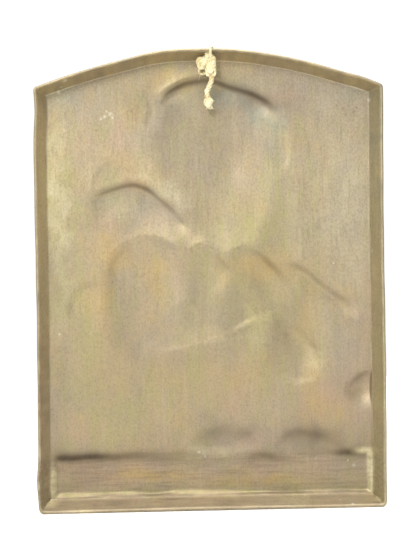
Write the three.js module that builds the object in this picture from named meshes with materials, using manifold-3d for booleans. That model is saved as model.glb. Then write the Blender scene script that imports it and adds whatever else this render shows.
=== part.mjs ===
// A wall plaque of pressed brass sheet with an arched top, as it is seen from behind: a shallow tray,
// its rim turned back to the wall, its figures hollow, and a knotted string through the top rim.
// Millimetres. +Z is up, the wall is the plane y = 0, and the relief faces -Y.
// The origin is the top of the rim's back edge, where the string passes over it.
import * as THREE from "three";
import { mergeVertices } from "three/addons/utils/BufferGeometryUtils.js";
import Module from "manifold-3d";

// The outline
const width = 212;
const sideHeight = 257;
const crownRise = 23;
const crownRound = 41.5; // how round the crown is: the smaller, the more pointed
const halfWidth = width / 2;
const bottomZ = -(sideHeight + crownRise);

// The sheet and its rim
const sheetThickness = 1.2;
const rimDepth = 12;
const rimRun = { side: 6.0, top: 5.4, bottom: 7.0 };
const bendReach = 1.3; // how far the bend at the rim's root reaches each way
const bendDepth = 2.4; // how much of the rim's depth its bend takes
const edgeInset = 0.72; // how far the middle of the sheet's thickness lies inside the outline
const steepestBend = 0.6; // keeps the sheet's faces from moving too far apart at the sharpest corner
const straightRowsBelow = -58; // above this level the rows of the sheet fan out to the arch

// The hole for the string, through the top rim
const holeRadius = 2.3;
const holeInset = 1.7;
const holeLength = 6;
const holeSides = 16;

// The plinth band along the foot of the relief
const band = { top: -248, bottom: -272, halfWidth: 97.6, high: 2.2, step: 1.4 };

// The relief's masses: centre, half width, reach up and down, height, how crisp the upper and the lower
// edge are, lean
const mounds = {
  veil: { x: -8, z: -62, wide: 42, up: 45, down: 66, high: 4.2, crisp: [0.9, 1.4], square: 2.4 },
  face: { x: -12, z: -66, wide: 19, up: 25, down: 27, high: 5.6, crisp: [1.1, 1.2] },
  neck: { x: -4, z: -100, wide: 17, up: 24, down: 26, high: 3.4, crisp: [1.1, 1.2] },
  childHair: { x: 49, z: -94, wide: 27, up: 27, down: 14, high: 1.4, crisp: [1.0, 1.2], lean: 20 },
  childHead: { x: 43, z: -98, wide: 31, up: 18.5, down: 26, high: 3.8, crisp: [0.7, 1.5], lean: -17 },
  childBody: { x: 39, z: -151, wide: 29, up: 37.5, down: 60, high: 4.2, crisp: [0.8, 1.7] },
  childArm: { x: 2, z: -146, wide: 17, up: 26, down: 40, high: 3.2, crisp: [0.8, 1.6] },
  shoulder: { x: -30, z: -152, wide: 26, up: 29, down: 56, high: 4.2, crisp: [0.8, 1.6], lean: 24 },
  sleeve: { x: -50, z: -176, wide: 22, up: 36, down: 36, high: 3.4, crisp: [0.9, 1.5], lean: 18 },
  lap: { x: 8, z: -208, wide: 66, up: 50, down: 40, high: 2.6, crisp: [1.2, 1.2] },
  leftFold: { x: 82, z: -148, wide: 15, up: 29, down: 44, high: 1.4, crisp: [0.9, 1.6], lean: -20 },
  brow: { x: 38, z: -36, wide: 9, up: 12, down: 13, high: 0.8, crisp: [0.9, 1.2] },
  knee: { x: -53, z: -197, wide: 21, up: 15, down: 9, high: 2.0, crisp: [0.9, 0.9], lean: -6 },
  bud: { x: -93, z: -208, wide: 10, up: 9, down: 11, high: 3.0, crisp: [0.7, 0.8] },
  hemLeft: { x: -8, z: -243, wide: 21, up: 12.5, down: 8, high: 3.0, crisp: [0.7, 1.0] },
  hemRight: { x: -62, z: -245, wide: 25, up: 12, down: 7, high: 2.8, crisp: [0.7, 1.0] },
};

// Limbs and rolled folds: from one end to the other, with a radius at each end and a height
const ridges = {
  forearm: { from: [30, -172], to: [-32, -156], radius: [12, 10], high: 3.4 },
  upperArm: { from: [-34, -140], to: [-58, -186], radius: [14, 13], high: 3.6 },
  veilEdge: { from: [-48, -134], to: [-88, -161], radius: [6, 4.5], high: 1.8 },
  veilFall: { from: [-45, -60], to: [-44, -120], radius: [7, 9], high: 1.8 },
  sash: { from: [36, -88], to: [10, -110], radius: [8, 10], high: 2.2 },
};
const mergeSharpness = 3; // the higher, the harder the line where two masses meet

// Where a fold or a limb lies over what is behind it, the sheet drops along a line and comes back slowly.
// Each has its line, its depth, and how far it takes to come back; the drop lies to the line's left, or
// to its right where the depth is negative.
const creases = {
  hood: {
    line: [[31, -36], [29, -28], [18, -19.5], [8, -16.8], [-3, -16.4], [-24, -24], [-46.5, -35]],
    deep: 2.7,
    back: 14,
  },
  childHead: {
    line: [[76, -95], [66.6, -85], [57, -81.5], [46, -79.6], [36.5, -82.5], [24, -93], [11, -106]],
    deep: 2.5,
    back: 12,
  },
  childHair: { line: [[75, -88], [73, -80], [68, -72], [60, -68], [50, -69]], deep: 0.6, back: 8 },
  childBody: {
    line: [[67, -156], [65.5, -140], [55, -121.5], [40, -113.5], [22, -119], [13, -123.5]],
    deep: 1.2,
    back: 13,
  },
  childArm: { line: [[15, -123.5], [9, -119.5], [4, -118.5], [-8, -128.5], [-14, -138]], deep: 1.0, back: 10 },
  shoulder: {
    line: [[-10, -131], [-15, -125], [-22, -122.3], [-38, -130], [-55, -153], [-66, -186]],
    deep: 1.2,
    back: 12,
  },
  veilEdge: { line: [[-46, -130], [-69, -142], [-78, -149.5], [-89, -159]], deep: 1.1, back: 8 },
  forearm: { line: [[30, -184], [14, -181], [0.5, -177.5], [-13, -173], [-31, -164]], deep: -0.9, back: 8 },
  knee: { line: [[-34, -203], [-48, -204.5], [-63, -203.5]], deep: -0.8, back: 9 },
  bud: { line: [[-80, -210], [-85, -203], [-92, -198], [-103, -197]], deep: 1.2, back: 8 },
  hemLeft: {
    line: [[16, -246], [10, -238.5], [1, -232], [-11, -230.5], [-20, -234], [-30, -250]],
    deep: 1.5,
    back: 9,
  },
  hemRight: { line: [[-36, -248], [-43, -239.5], [-53, -234.5], [-72, -243.5], [-88, -247]], deep: 1.5, back: 8 },
};
const creaseDrop = 2.4; // how far from its line a crease takes to go down
const creaseTaper = 0.25; // the share of a crease's line over which it dies away at each end
const creaseStep = 3;

// Where the relief dies away before the rim: the share of the rim's run at which it starts and ends
const reliefStart = { from: 1.0, to: 1.25 };

// The grid of the sheet between the bends
const columnCount = 34;
const fanRowCount = 11;
const figureRowCount = 30;
const bandRowCount = 4;

// The string: a loop lying on the outside of the top rim, a knot inside, and a tail with its own knot
const stringDiameter = 2.0;
const stringSides = 8;
const stringStep = 2.3 * stringDiameter;
const knotSides = 12;
const knotRings = 8;
const loopRoute = [
  [-1.1, -2.2, -4.6],
  [-1.1, -0.3, -3.8],
  [-1.1, 1.3, -2.3],
  [-1.1, 2.0, 0.2],
  [-1.3, 1.1, 1.9],
  [-2.2, -1.1, 2.2],
  [-4.0, -3.6, 0.6],
  [-7.5, -5.2, -0.4],
  [-12.0, -5.3, -0.9],
  [-18.0, -5.3, -0.9],
  [-22.2, -6.1, -1.3],
  [-23.8, -7.6, -2.2],
  [-22.2, -9.2, -3.1],
  [-18.0, -9.8, -3.5],
  [-12.0, -9.8, -2.9],
  [-6.0, -9.6, -2.3],
  [-1.6, -8.7, -1.7],
  [0.4, -6.9, -0.9],
  [0.6, -5.1, -0.7],
  [0.6, -3.4, -1.7],
  [0.8, -2.2, -3.0],
  [1.0, -2.0, -4.6],
];
const tailRoute = [
  [-1.9, -4.9, -16.5],
  [-2.0, -5.4, -18.5],
  [-0.7, -6.2, -22.0],
  [0.7, -6.9, -25.0],
  [0.4, -7.2, -27.5],
];
const knot = { x: -0.1, y: -4.2, z: -10.3, halfWidth: 6.2, halfDepth: 3.6, halfHeight: 5.7 };
const tailKnot = { x: -0.6, y: -7.4, z: -31.6, halfWidth: 2.7, halfDepth: 2.3, halfHeight: 3.7 };

for (const crease of Object.values(creases)) {
  const curve = new THREE.SplineCurve(crease.line.map(([x, z]) => new THREE.Vector2(x, z)));
  crease.points = curve.getSpacedPoints(Math.round(curve.getLength() / creaseStep));
}

const wasm = await Module();
wasm.setup();

// How far the arched top lies below its highest point, at a distance x from the middle.
function crownDrop(x) {
  const spread = ((crownRise + crownRound) ** 2 - crownRound ** 2) / halfWidth ** 2;
  return Math.sqrt(crownRound ** 2 + spread * x * x) - crownRound;
}

// How far the rim has come round at a point: 0 at its outer edge, 1 at its root, more on the field.
function rimShare(x, z) {
  const fromSide = (halfWidth - Math.abs(x)) / rimRun.side;
  const fromTop = (-crownDrop(x) - z) / rimRun.top;
  const fromBottom = (z - bottomZ) / rimRun.bottom;
  return Math.min(fromSide, fromTop, fromBottom);
}

// The smaller of two numbers, with a rounded corner of the given reach between them.
function softMin(a, b, reach) {
  const share = Math.max(reach - Math.abs(a - b), 0) / reach;
  return Math.min(a, b) - (share * share * reach) / 4;
}

function smoothStep(low, high, value) {
  const t = THREE.MathUtils.clamp((value - low) / (high - low), 0, 1);
  return t * t * (3 - 2 * t);
}

// A mound's height: an ellipse that leans, with its own reach up and down.
function moundHeight(mound, x, z) {
  const angle = THREE.MathUtils.degToRad(mound.lean ?? 0);
  const dx = x - mound.x;
  const dz = z - mound.z;
  const across = dx * Math.cos(angle) + dz * Math.sin(angle);
  const along = dz * Math.cos(angle) - dx * Math.sin(angle);
  const power = mound.square ?? 2;
  const reach = along > 0 ? mound.up : mound.down;
  const out = Math.abs(across / mound.wide) ** power + Math.abs(along / reach) ** power;
  const [upper, lower] = mound.crisp;
  const edge = THREE.MathUtils.lerp(lower, upper, smoothStep(-0.5, 0.5, along / reach));
  return out < 1 ? mound.high * (1 - out) ** edge : 0;
}

// A ridge's height: round across and past its ends.
function ridgeHeight(ridge, x, z) {
  const [fromX, fromZ] = ridge.from;
  const [toX, toZ] = ridge.to;
  const length = Math.hypot(toX - fromX, toZ - fromZ);
  const along = ((x - fromX) * (toX - fromX) + (z - fromZ) * (toZ - fromZ)) / length;
  const share = THREE.MathUtils.clamp(along / length, 0, 1);
  const nearX = fromX + share * (toX - fromX);
  const nearZ = fromZ + share * (toZ - fromZ);
  const radius = THREE.MathUtils.lerp(ridge.radius[0], ridge.radius[1], share);
  const out = (Math.hypot(x - nearX, z - nearZ) / radius) ** 2;
  return out < 1 ? ridge.high * (1 - out) : 0;
}

// A crease's depth at a point, from the nearest place on its line.
function creaseHeight(crease, x, z) {
  const here = new THREE.Vector2(x, z);
  const ahead = new THREE.Vector2();
  let nearest = { away: Infinity, side: 0, share: 0 };
  for (let i = 1; i < crease.points.length; i++) {
    const from = crease.points[i - 1];
    const run = crease.points[i].clone().sub(from);
    const along = THREE.MathUtils.clamp(ahead.copy(here).sub(from).dot(run) / run.lengthSq(), 0, 1);
    const off = here.clone().sub(from).addScaledVector(run, -along);
    if (off.length() < nearest.away) {
      const share = (i - 1 + along) / (crease.points.length - 1);
      nearest = { away: off.length(), side: Math.sign(run.cross(off)), share };
    }
  }
  const inside = nearest.away * nearest.side * Math.sign(crease.deep);
  if (inside <= 0) return 0;
  const fromEnd = Math.min(nearest.share, 1 - nearest.share);
  const fall = (1 - Math.exp(-inside / creaseDrop)) * Math.exp(-inside / crease.back);
  return Math.abs(crease.deep) * fall * smoothStep(0, creaseTaper, fromEnd);
}

function bandHeight(x, z) {
  const across = 1 - smoothStep(band.halfWidth - band.step, band.halfWidth + band.step, Math.abs(x));
  const above = 1 - smoothStep(band.top - band.step, band.top + band.step, z);
  const below = smoothStep(band.bottom - band.step, band.bottom + band.step, z);
  return band.high * across * above * below;
}

// How far the sheet is pressed forward of the flat field.
function reliefHeight(x, z) {
  const heights = [bandHeight(x, z)];
  for (const mound of Object.values(mounds)) heights.push(moundHeight(mound, x, z));
  for (const ridge of Object.values(ridges)) heights.push(ridgeHeight(ridge, x, z));
  const sum = heights.reduce((total, height) => total + height ** mergeSharpness, 0);
  const deeper = Object.values(creases).reduce((total, crease) => total + creaseHeight(crease, x, z), 0);
  const start = smoothStep(reliefStart.from, reliefStart.to, rimShare(x, z));
  return (sum ** (1 / mergeSharpness) + deeper) * start;
}

// The middle of the sheet's thickness: out of the wall's plane, down the rim, and over the relief.
function sheetY(x, z) {
  const share = rimShare(x, z);
  const depth = softMin(share * rimDepth, rimDepth, bendDepth);
  return -(depth + (share > reliefStart.from ? reliefHeight(x, z) : 0));
}

// Places from one value to another in equal steps, without the last.
function steps(from, to, count) {
  return Array.from({ length: count }, (_, i) => from + ((to - from) * i) / count);
}

function rimPlaces(run) {
  return [0, run - bendReach, run, run + bendReach];
}

// The grid's columns from left to right, and its rows as functions of x from the foot to the arch.
function gridColumns() {
  const rim = rimPlaces(rimRun.side);
  const inner = halfWidth - rim[3];
  const left = rim.slice(0, 3).map((inset) => inset - halfWidth);
  const right = rim.map((inset) => halfWidth - inset).reverse();
  return [...left, ...steps(-inner, inner, columnCount), ...right];
}

function gridRows() {
  const foot = rimPlaces(rimRun.bottom).map((inset) => bottomZ + inset);
  const levels = [
    ...foot,
    ...steps(foot[3], band.top - band.step, bandRowCount).slice(1),
    band.top - band.step,
    ...steps(band.top + band.step, straightRowsBelow, figureRowCount),
  ];
  const rows = levels.map((level) => () => level);
  const rim = rimPlaces(rimRun.top).reverse();
  for (const share of steps(0, 1, fanRowCount)) {
    rows.push((x) => THREE.MathUtils.lerp(straightRowsBelow, -crownDrop(x) - rim[0], share));
  }
  for (const inset of rim) rows.push((x) => -crownDrop(x) - inset);
  return rows;
}

// The sheet: the grid's middle surface, moved half its thickness to each side and closed round the edge.
function sheetGeometry() {
  const half = sheetThickness / 2;
  const columns = gridColumns();
  const rows = gridRows();
  const last = { column: columns.length - 1, row: rows.length - 1 };
  const points = rows.map((row) =>
    columns.map((x) => {
      const z = row(x);
      const inX = x * (1 - edgeInset / halfWidth);
      const inZ = bottomZ / 2 + (z - bottomZ / 2) * (1 + (2 * edgeInset) / bottomZ);
      return new THREE.Vector3(inX, sheetY(x, z), inZ);
    }),
  );
  const at = (row, column) => row * columns.length + column;
  const quads = [];
  for (let row = 0; row < last.row; row++) {
    for (let column = 0; column < last.column; column++) {
      const corners = [at(row, column), at(row, column + 1), at(row + 1, column + 1), at(row + 1, column)];
      const rising = row < last.row / 2 === column < last.column / 2;
      if (!rising) corners.push(corners.shift());
      quads.push(corners);
    }
  }
  const triangles = quads.flatMap(([a, b, c, d]) => [[a, b, c], [a, c, d]]);

  const middle = points.flat();
  const faceNormals = triangles.map(([a, b, c]) => {
    const one = middle[b].clone().sub(middle[a]);
    const two = middle[c].clone().sub(middle[a]);
    return one.cross(two).normalize();
  });
  const around = middle.map(() => []);
  triangles.forEach((corners, i) => corners.forEach((corner) => around[corner].push(faceNormals[i])));

  const onEdge = (i) => {
    const row = Math.floor(i / columns.length);
    const column = i % columns.length;
    return row === 0 || row === last.row || column === 0 || column === last.column;
  };
  const shift = middle.map((_, i) => {
    const normal = new THREE.Vector3();
    for (const face of around[i]) normal.add(face);
    if (onEdge(i)) normal.y = 0;
    normal.normalize();
    const lean = around[i].reduce((total, face) => total + normal.dot(face), 0) / around[i].length;
    return normal.multiplyScalar(half / Math.max(lean, steepestBend));
  });

  const front = middle.map((point, i) => point.clone().add(shift[i]));
  const back = middle.map((point, i) => point.clone().sub(shift[i]));
  const count = middle.length;
  const index = [];
  for (const [a, b, c] of triangles) index.push(a, b, c, count + a, count + c, count + b);
  const rim = [
    ...columns.map((_, column) => at(0, column)),
    ...rows.slice(1).map((_, row) => at(row + 1, last.column)),
    ...columns.slice(1).map((_, column) => at(last.row, last.column - 1 - column)),
    ...rows.slice(1, -1).map((_, row) => at(last.row - 1 - row, 0)),
  ];
  rim.forEach((a, i) => {
    const b = rim[(i + 1) % rim.length];
    index.push(b, a, count + a, b, count + a, count + b);
  });
  const places = [...front, ...back].flatMap((point) => point.toArray());
  const geometry = new THREE.BufferGeometry();
  geometry.setAttribute("position", new THREE.Float32BufferAttribute(places, 3));
  geometry.setIndex(index);
  return geometry;
}

function solidOf(geometry) {
  const bare = new THREE.BufferGeometry();
  bare.setAttribute("position", geometry.getAttribute("position"));
  bare.setIndex(geometry.getIndex());
  const merged = mergeVertices(bare, 1e-4);
  const vertProperties = new Float32Array(merged.getAttribute("position").array);
  const triVerts = new Uint32Array(merged.getIndex().array);
  return new wasm.Manifold(new wasm.Mesh({ numProp: 3, vertProperties, triVerts }));
}

function geometryOf(solid) {
  const mesh = solid.getMesh();
  const geometry = new THREE.BufferGeometry();
  geometry.setAttribute("position", new THREE.BufferAttribute(mesh.vertProperties, 3));
  geometry.setIndex(new THREE.BufferAttribute(mesh.triVerts, 1));
  geometry.computeVertexNormals();
  return geometry;
}

// A round cutter square to the top rim's wall.
function holeCutter() {
  const cutter = new THREE.CylinderGeometry(holeRadius, holeRadius, holeLength, holeSides);
  const wallSlope = Math.atan2(rimRun.top, rimDepth);
  cutter.rotateX(Math.PI / 2 + wallSlope);
  cutter.translate(0, (-holeInset * rimDepth) / rimRun.top, -holeInset);
  return cutter;
}

function stringGeometry(route) {
  const curve = new THREE.CatmullRomCurve3(route.map((place) => new THREE.Vector3(...place)));
  const section = new THREE.Shape();
  section.absarc(0, 0, stringDiameter / 2, 0, 2 * Math.PI);
  const count = Math.round(curve.getLength() / stringStep);
  return new THREE.ExtrudeGeometry(section, {
    steps: Math.max(count, 4),
    curveSegments: stringSides / 2,
    extrudePath: curve,
  });
}

function knotGeometry({ halfWidth: wide, halfDepth: deep, halfHeight: high }) {
  return new THREE.SphereGeometry(1, knotSides, knotRings).rotateX(Math.PI / 2).scale(wide, deep, high);
}

const patinatedBrass = new THREE.MeshStandardMaterial({ color: 0xa8916a, roughness: 0.5, metalness: 0.8 });
const naturalString = new THREE.MeshStandardMaterial({ color: 0xe6d8a8, roughness: 0.95, metalness: 0 });

const plaque = new THREE.Group();

function addPiece(name, geometry, material, place = { x: 0, y: 0, z: 0 }) {
  const piece = new THREE.Mesh(geometry, material);
  piece.name = name;
  piece.position.set(place.x, place.y, place.z);
  plaque.add(piece);
}

const pierced = solidOf(sheetGeometry()).subtract(solidOf(holeCutter()));
addPiece("plaque_sheet", geometryOf(pierced), patinatedBrass);
addPiece("string_loop", stringGeometry(loopRoute), naturalString);
addPiece("string_knot", knotGeometry(knot), naturalString, knot);
addPiece("string_tail", stringGeometry(tailRoute), naturalString);
addPiece("tail_knot", knotGeometry(tailKnot), naturalString, tailKnot);

export default plaque;
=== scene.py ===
import math
import bpy
import numpy as np
from mathutils import Matrix, Vector


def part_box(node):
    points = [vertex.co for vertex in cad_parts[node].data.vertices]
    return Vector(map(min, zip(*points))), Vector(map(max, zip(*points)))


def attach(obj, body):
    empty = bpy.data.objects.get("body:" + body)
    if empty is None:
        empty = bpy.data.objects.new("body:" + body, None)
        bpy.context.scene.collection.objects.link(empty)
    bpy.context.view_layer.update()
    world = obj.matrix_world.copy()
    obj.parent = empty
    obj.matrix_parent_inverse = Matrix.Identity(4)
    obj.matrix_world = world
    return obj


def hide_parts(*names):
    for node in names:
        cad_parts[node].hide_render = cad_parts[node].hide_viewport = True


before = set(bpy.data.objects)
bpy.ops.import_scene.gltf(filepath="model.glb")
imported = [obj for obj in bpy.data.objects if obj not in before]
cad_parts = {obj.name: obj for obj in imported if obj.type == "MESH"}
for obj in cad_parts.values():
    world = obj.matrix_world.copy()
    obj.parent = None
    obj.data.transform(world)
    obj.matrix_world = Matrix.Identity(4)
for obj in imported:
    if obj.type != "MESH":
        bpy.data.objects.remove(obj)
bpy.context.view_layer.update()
MM = 0.001

# The camera looks at the back of the plaque from a little over a metre, almost square to it:
# a few degrees to the left of square and one degree above, and rolled slightly.
sheet_low, sheet_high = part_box("plaque_sheet")
eye_distance = 1.2
eye_yaw, eye_pitch, eye_roll = math.radians(3.6), math.radians(1.0), math.radians(-0.75)
image_size = (410, 538)
pixels_per_metre = 1646.8
plaque_middle = Vector((0, 0, (sheet_low[2] + sheet_high[2]) / 2))
middle_in_image = (211.3, 280.1)

towards_eye = Vector((
    math.sin(eye_yaw) * math.cos(eye_pitch),
    math.cos(eye_yaw) * math.cos(eye_pitch),
    math.sin(eye_pitch),
))
level = towards_eye.to_track_quat("Z", "Y").to_matrix()
turned = level @ Matrix.Rotation(eye_roll, 3, "Z")
across = (middle_in_image[0] - image_size[0] / 2) / pixels_per_metre
down = (middle_in_image[1] - image_size[1] / 2) / pixels_per_metre
aim = plaque_middle + turned @ Vector((-across, down, 0))

camera_data = bpy.data.cameras.new("camera")
camera_data.sensor_width = 36
camera_data.lens = 36 * pixels_per_metre * eye_distance / image_size[1]
camera_data.clip_start = 0.05
camera_data.clip_end = 20
camera = bpy.data.objects.new("camera", camera_data)
camera.matrix_world = Matrix.Translation(aim + towards_eye * eye_distance) @ turned.to_4x4()
bpy.context.scene.collection.objects.link(camera)
bpy.context.scene.camera = camera


class Shade:
    """One socket of a material's nodes: sums and products of it add the Math nodes that they need."""

    def __init__(self, tree, socket=None):
        self.tree = tree
        self.socket = socket

    def add(self, kind, settings=None, inputs=None, output=0):
        """A new node: its settings first, then the values or links of its sockets."""
        node = self.tree.nodes.new("ShaderNode" + kind)
        for name, value in (settings or {}).items():
            setattr(node, name, value)
        for key, value in (inputs or {}).items():
            if isinstance(value, Shade):
                self.tree.links.new(value.socket, node.inputs[key])
            else:
                node.inputs[key].default_value = value
        return Shade(self.tree, node.outputs[output] if len(node.outputs) else None)

    def maths(self, operation, *values):
        return self.add("Math", {"operation": operation}, dict(enumerate(values)))

    def __add__(self, other):
        return self.maths("ADD", self, other)

    def __sub__(self, other):
        return self.maths("SUBTRACT", self, other)

    def __rsub__(self, other):
        return self.maths("SUBTRACT", other, self)

    def __mul__(self, other):
        return self.maths("MULTIPLY", self, other)

    __radd__ = __add__
    __rmul__ = __mul__

    def band(self, low, high, start=0.0, end=1.0):
        """This value, led smoothly from start to end as it goes from low to high."""
        return self.add(
            "MapRange",
            {"interpolation_type": "SMOOTHSTEP"},
            {"Value": self, "From Min": low, "From Max": high, "To Min": start, "To Max": end},
        )

    def blend(self, one, other):
        """The colour one, covered by the colour other as far as this value says."""
        return self.add("Mix", {"data_type": "RGBA"}, {0: self, 6: one, 7: other}, 2)

    def noise(self, place, scale, detail=3.0, rough=0.5, turn=0.0):
        """Noise from 0 to 1 at a place, with a scale for each axis, per millimetre."""
        settings = {"vector_type": "POINT"}
        inputs = {"Vector": place, "Scale": scale, "Location": (turn, 2 * turn, 3 * turn)}
        moved = self.add("Mapping", settings, inputs)
        inputs = {"Vector": moved, "Scale": 1.0, "Detail": detail, "Roughness": rough}
        return self.add("TexNoise", None, inputs)


def new_material(name):
    """An empty material, and the place on the surface in millimetres to build it from."""
    material = bpy.data.materials.new(name)
    material.use_nodes = True
    material.node_tree.nodes.clear()
    start = Shade(material.node_tree)
    place = start.add("TexCoord", output=3)
    place = place.add("VectorMath", {"operation": "SCALE"}, {0: place, 3: 1 / MM})
    return material, place


def finish_material(place, principled):
    """Links the shader to the material's output."""
    place.add("OutputMaterial", None, {"Surface": principled})


def mesh_object(name, points, faces, material):
    """A piece made of points in millimetres, riding on the only body."""
    mesh = bpy.data.meshes.new(name)
    mesh.from_pydata((np.asarray(points) * MM).tolist(), [], [list(face) for face in faces])
    mesh.validate()
    mesh.materials.append(material)
    mesh.polygons.foreach_set("use_smooth", [True] * len(mesh.polygons))
    piece = bpy.data.objects.new(name, mesh)
    bpy.context.scene.collection.objects.link(piece)
    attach(piece, "root")
    return piece


# The string: pale natural twine of three soft plies, 2 mm thick. It is knotted in a fat lump inside the
# top rim, goes over the rim's edge, lies in a flat loop on the outside of the rim, comes back through
# the hole, runs through the lump and hangs down as a short tail that ends in a frayed knot.
string_diameter = 2.0
string_plies = 3
lay_length = 7.5
knot_middle = (-0.1, -4.2, -10.3)
loop_route = [
    (-1.1, -2.2, -4.6), (-1.1, -0.3, -3.8), (-1.1, 1.1, -2.3), (-1.1, 1.5, -0.2), (-1.3, 0.8, 1.1),
    (-2.1, -1.1, 1.4), (-4.0, -3.6, 0.2), (-7.5, -5.2, -0.5), (-12.0, -5.3, -0.9), (-18.0, -5.3, -0.9),
    (-22.2, -6.1, -1.3), (-23.8, -7.6, -2.2), (-22.2, -9.2, -3.1), (-18.0, -9.8, -3.5), (-12.0, -9.8, -2.9),
    (-6.0, -9.6, -2.3), (-1.6, -8.7, -1.7), (0.4, -6.9, -0.9), (0.6, -5.1, -0.7), (0.6, -3.4, -1.7),
    (0.8, -2.2, -3.0), (1.0, -2.0, -4.6),
]
tail_route = [
    (-1.9, -4.9, -16.5), (-2.0, -5.4, -18.5), (-0.7, -6.2, -22.0), (0.7, -6.9, -25.0), (0.4, -7.2, -27.5),
]
tail_end = (-0.6, -7.4, -31.6)
string_route = [knot_middle, *loop_route, (0.4, -4.0, -8.5), (-0.8, -4.4, -12.5), *tail_route, tail_end]


def smooth_line(route, spacing):
    """A Catmull-Rom curve through a route's points, as points about that far apart."""
    route = np.array(route, float)
    ends = np.vstack([2 * route[0] - route[1], route, 2 * route[-1] - route[-2]])
    fine = []
    for a, b, c, d in zip(ends, ends[1:], ends[2:], ends[3:]):
        for t in np.linspace(0, 1, 24, endpoint=False):
            fine.append(0.5 * (
                2 * b + (c - a) * t + (2 * a - 5 * b + 4 * c - d) * t**2 + (3 * b - a - 3 * c + d) * t**3
            ))
    fine = np.vstack([fine, route[-1]])
    along = np.r_[0, np.cumsum(np.linalg.norm(np.diff(fine, axis=0), axis=1))]
    places = np.linspace(0, along[-1], max(int(along[-1] / spacing), 4) + 1)
    return np.column_stack([np.interp(places, along, fine[:, k]) for k in range(3)])


def frames_along(line):
    """Two directions square to a line at each of its points, carried along it without twist."""
    tangent = np.gradient(line, axis=0)
    tangent /= np.linalg.norm(tangent, axis=1)[:, None]
    side = np.cross(tangent[0], (0.3, 0.2, 1.0))
    sides = []
    for t in tangent:
        side = side - (side @ t) * t
        side /= np.linalg.norm(side)
        sides.append(side)
    sides = np.array(sides)
    return sides, np.cross(tangent, sides)


def tube(line, radius, corners):
    """The points and faces of a closed tube of changing radius along a line."""
    sides, ups = frames_along(line)
    radius = np.broadcast_to(radius, len(line))
    turn = np.linspace(0, 2 * np.pi, corners, endpoint=False)
    ring = np.cos(turn)[None, :, None] * sides[:, None] + np.sin(turn)[None, :, None] * ups[:, None]
    points = (line[:, None] + ring * radius[:, None, None]).reshape(-1, 3)
    faces = []
    for i in range(len(line) - 1):
        for k in range(corners):
            m = (k + 1) % corners
            faces.append((i * corners + k, i * corners + m, (i + 1) * corners + m, (i + 1) * corners + k))
    faces.append(tuple(range(corners))[::-1])
    faces.append(tuple(range((len(line) - 1) * corners, len(line) * corners)))
    return points, faces


def joined(parts):
    """Several pairs of points and faces as one."""
    points, faces, count = [], [], 0
    for some, more in parts:
        points.append(some)
        faces += [tuple(count + i for i in face) for face in more]
        count += len(some)
    return np.vstack(points), faces


def twine(line, diameter, draw, corners=7):
    """Soft plies laid round a line, each a tube of slightly uneven thickness; the diameter may vary."""
    sides, ups = frames_along(line)
    along = np.r_[0, np.cumsum(np.linalg.norm(np.diff(line, axis=0), axis=1))]
    parts = []
    for ply in range(string_plies):
        phase = 2 * np.pi * (along / lay_length + ply / string_plies)
        out = np.broadcast_to(0.25 * diameter, len(line))[:, None]
        core = line + out * (np.cos(phase)[:, None] * sides + np.sin(phase)[:, None] * ups)
        wave = 1 + 0.08 * np.sin(along * draw.uniform(1.5, 2.5) + draw.uniform(0, 6))
        parts.append(tube(core, 0.27 * diameter * wave, corners))
    return parts


def hairs(line, count, reach, draw):
    """Loose fibres that stand off a line, each a thin bent spike."""
    parts = []
    for _ in range(count):
        root = line[draw.integers(len(line))]
        out = draw.normal(size=3)
        out /= np.linalg.norm(out)
        bend = draw.normal(size=3) * 0.5
        long = reach * draw.uniform(0.5, 1.0)
        steps = np.linspace(0, 1, 5)[:, None]
        spike = root + 0.75 * out + long * (steps * out + steps**2 * bend)
        parts.append(tube(spike, np.array([0.07, 0.065, 0.055, 0.045, 0.02]), 3))
    return parts


def string_material():
    material, place = new_material("natural_string")
    fibres = place.noise(place, (2.5, 2.5, 9.0), 5.0, 0.7)
    patches = place.noise(place, (0.25, 0.25, 0.25), 2.0, 0.5, 4.0)
    hollows = place.noise(place, (0.9, 0.9, 0.9), 3.0, 0.6, 8.0)
    straw = (0.73, 0.61, 0.32, 1)
    cream = (0.89, 0.81, 0.53, 1)
    shade = (0.40, 0.30, 0.13, 1)
    colour = patches.band(0.35, 0.65).blend(straw, cream)
    colour = fibres.band(0.52, 0.32, 0.0, 0.8).blend(colour, shade)
    # Painted shade: dark patches from this noise stand in for the shade where the strands lie over each
    # other.
    colour = hollows.band(0.44, 0.30, 0.0, 0.7).blend(colour, shade)
    bump = place.add("Bump", None, {"Height": fibres, "Strength": 0.6, "Distance": 0.0003})
    finish_material(place, place.add("BsdfPrincipled", None, {
        "Base Color": colour,
        "Roughness": 0.95,
        "Normal": bump,
        "Sheen Weight": 0.4,
        "Sheen Roughness": 0.5,
    }))
    return material


string_finish = string_material()
draw = np.random.default_rng(11)
string_line = smooth_line(string_route, 0.45)
over_edge = np.exp(-((string_line[:, 2] - 0.9) / 1.6) ** 2)
past_knot = np.arange(len(string_line)) > 0.6 * len(string_line)
in_tail = past_knot * np.clip((-13 - string_line[:, 2]) / 3, 0, 1)
string_swell = 1 - 0.45 * over_edge + 0.55 * in_tail
string_points, string_faces = joined(twine(string_line, string_diameter * string_swell, draw))
string = mesh_object("string", string_points, string_faces, string_finish)
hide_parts("string_loop", "string_tail")


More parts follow.
